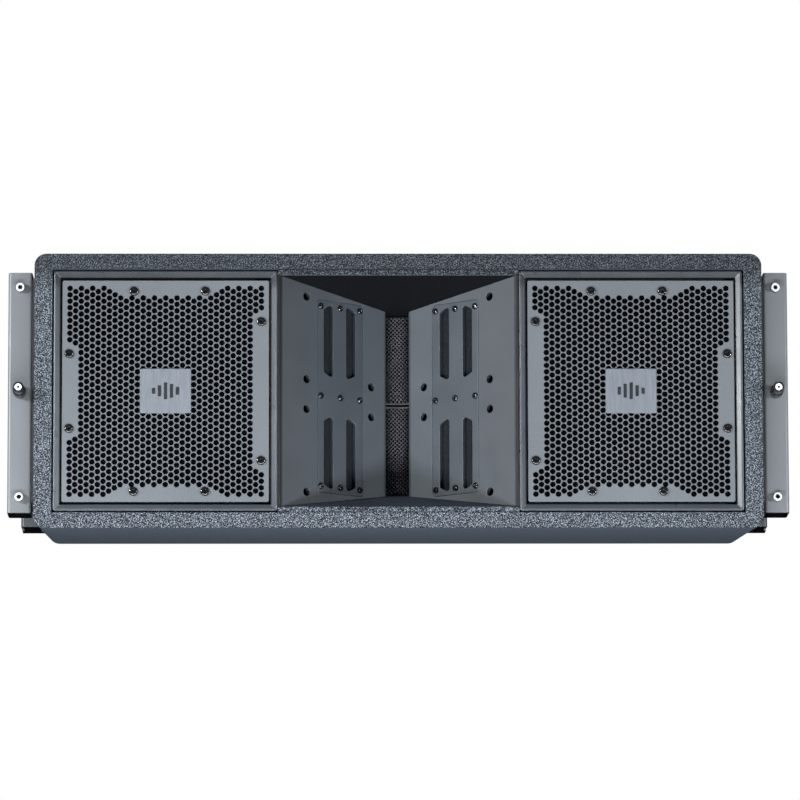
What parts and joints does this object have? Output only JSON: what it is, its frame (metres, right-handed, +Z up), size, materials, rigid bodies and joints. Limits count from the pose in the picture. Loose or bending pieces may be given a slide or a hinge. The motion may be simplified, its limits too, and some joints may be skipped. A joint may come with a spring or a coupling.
{
  "type": "line array speaker",
  "caption": "Compact three-way line array element: perforated woofer grilles either side of a central horn with slotted wings, tapered cabinet, sliding rigging links.",
  "frame": {"origin": "centre of the overall box", "axes": "+X along the width, +Y to the rear, +Z up through the height"},
  "size_m": [0.787, 0.406, 0.279],
  "materials": {
    "coated_ply": "plywood under a textured polymer coating",
    "bare_ply": "sealed birch plywood",
    "bezel_plastic": "satin moulded",
    "grille_steel": "fine satin powder coat",
    "foam": "open cell foam",
    "badge_metal": "satin",
    "black_fastener": "black oxide",
    "bright_fastener": "zinc",
    "driver_frame": "painted die casting",
    "steel": "plated",
    "ferrite": "matt ferrite",
    "suspension": "half roll",
    "cloth": "resin treated cloth",
    "cone_paper": "coated paper pulp",
    "coil": "wound former",
    "horn_plastic": "satin moulded",
    "screen": "fine woven mesh",
    "slot_cloth": "acoustic cloth",
    "waveguide_alloy": "die cast",
    "diaphragm": "thin foil",
    "circuit_board": "laminate",
    "components": "wound and moulded parts",
    "socket_plastic": "moulded",
    "rig_paint": "satin powder coat",
    "link_steel": "zinc plated",
    "black_knob": "satin"
  },
  "bodies": {
    "cabinet": {"cabinet_carcass": "coated_ply", "rear_panel": "coated_ply", "woofer_baffles": "bare_ply", "horn_dividers": "bare_ply", "horn_shelves": "coated_ply", "bezels": "bezel_plastic", "grille_left": "grille_steel", "grille_right": "grille_steel", "grille_foams": "foam", "badges": "badge_metal", "grille_screws": "black_fastener", "woofer_baskets": "driver_frame", "woofer_top_plates": "steel", "woofer_magnets": "ferrite", "woofer_yokes": "steel", "woofer_screws": "black_fastener", "woofer_surround_left": "suspension", "woofer_surround_right": "suspension", "woofer_spider_left": "cloth", "woofer_spider_right": "cloth", "wing_left": "horn_plastic", "wing_right": "horn_plastic", "slot_plates": "horn_plastic", "slot_plate_screws": "black_fastener", "slot_fabrics": "slot_cloth", "mid_baskets": "driver_frame", "mid_motors": "steel", "mid_surrounds_left": "suspension", "mid_surrounds_right": "suspension", "hf_waveguides": "waveguide_alloy", "hf_screens": "screen", "hf_drivers": "driver_frame", "crossover_board": "circuit_board", "crossover_parts": "components", "input_panel": "rig_paint", "input_connectors": "socket_plastic", "handle_cups": "socket_plastic", "side_plates": "rig_paint", "front_channels": "rig_paint", "rear_channels": "rig_paint", "plunger_barrels": "black_fastener", "channel_screws": "bright_fastener", "rig_bolts": "bright_fastener"},
    "woofer_moving_left": {"woofer_cone_left": "cone_paper", "dust_cap_left": "cone_paper", "voice_coil_left": "coil"},
    "mid_moving_left": {"mid_cones_left": "cone_paper"},
    "woofer_moving_right": {"woofer_cone_right": "cone_paper", "dust_cap_right": "cone_paper", "voice_coil_right": "coil"},
    "mid_moving_right": {"mid_cones_right": "cone_paper"},
    "hf_moving": {"hf_diaphragms": "diaphragm"},
    "front_link_left": {"front_link_left": "link_steel"},
    "rear_link_left": {"rear_link_left": "link_steel"},
    "rear_pin_left": {"rear_pin_left": "bright_fastener"},
    "plunger_left": {"plunger_left": "black_knob"},
    "front_link_right": {"front_link_right": "link_steel"},
    "rear_link_right": {"rear_link_right": "link_steel"},
    "rear_pin_right": {"rear_pin_right": "bright_fastener"},
    "plunger_right": {"plunger_right": "black_knob"}
  },
  "joints": [
    {"name": "woofer_excursion_left", "type": "slide", "parent": "cabinet", "child": "woofer_moving_left", "axis": [0, -1, 0], "range_m": [-0.005, 0.005], "deforming": ["woofer_surround_left", "woofer_spider_left"]},
    {"name": "mid_excursion_left", "type": "slide", "parent": "cabinet", "child": "mid_moving_left", "axis": [0.6455, -0.7638, 0], "range_m": [-0.001, 0.001], "deforming": ["mid_surrounds_left"]},
    {"name": "woofer_excursion_right", "type": "slide", "parent": "cabinet", "child": "woofer_moving_right", "axis": [0, -1, 0], "range_m": [-0.005, 0.005], "deforming": ["woofer_surround_right", "woofer_spider_right"]},
    {"name": "mid_excursion_right", "type": "slide", "parent": "cabinet", "child": "mid_moving_right", "axis": [-0.6455, -0.7638, 0], "range_m": [-0.001, 0.001], "deforming": ["mid_surrounds_right"]},
    {"name": "hf_excursion", "type": "slide", "parent": "cabinet", "child": "hf_moving", "axis": [0, -1, 0], "range_m": [-0.0003, 0.0003]},
    {"name": "front_link_slide_left", "type": "slide", "parent": "cabinet", "child": "front_link_left", "axis": [0, 0, 1], "range_m": [0, 0.0656]},
    {"name": "rear_link_slide_left", "type": "slide", "parent": "cabinet", "child": "rear_link_left", "axis": [0, 0, 1], "range_m": [0, 0.05]},
    {"name": "rear_pin_pull_left", "type": "slide", "parent": "cabinet", "child": "rear_pin_left", "axis": [0, 1, 0], "range_m": [0, 0.045]},
    {"name": "plunger_pull_left", "type": "slide", "parent": "cabinet", "child": "plunger_left", "axis": [0, -1, 0], "range_m": [0, 0.008]},
    {"name": "front_link_slide_right", "type": "slide", "parent": "cabinet", "child": "front_link_right", "axis": [0, 0, 1], "range_m": [0, 0.0656]},
    {"name": "rear_link_slide_right", "type": "slide", "parent": "cabinet", "child": "rear_link_right", "axis": [0, 0, 1], "range_m": [0, 0.05]},
    {"name": "rear_pin_pull_right", "type": "slide", "parent": "cabinet", "child": "rear_pin_right", "axis": [0, 1, 0], "range_m": [0, 0.045]},
    {"name": "plunger_pull_right", "type": "slide", "parent": "cabinet", "child": "plunger_right", "axis": [0, -1, 0], "range_m": [0, 0.008]}
  ]
}
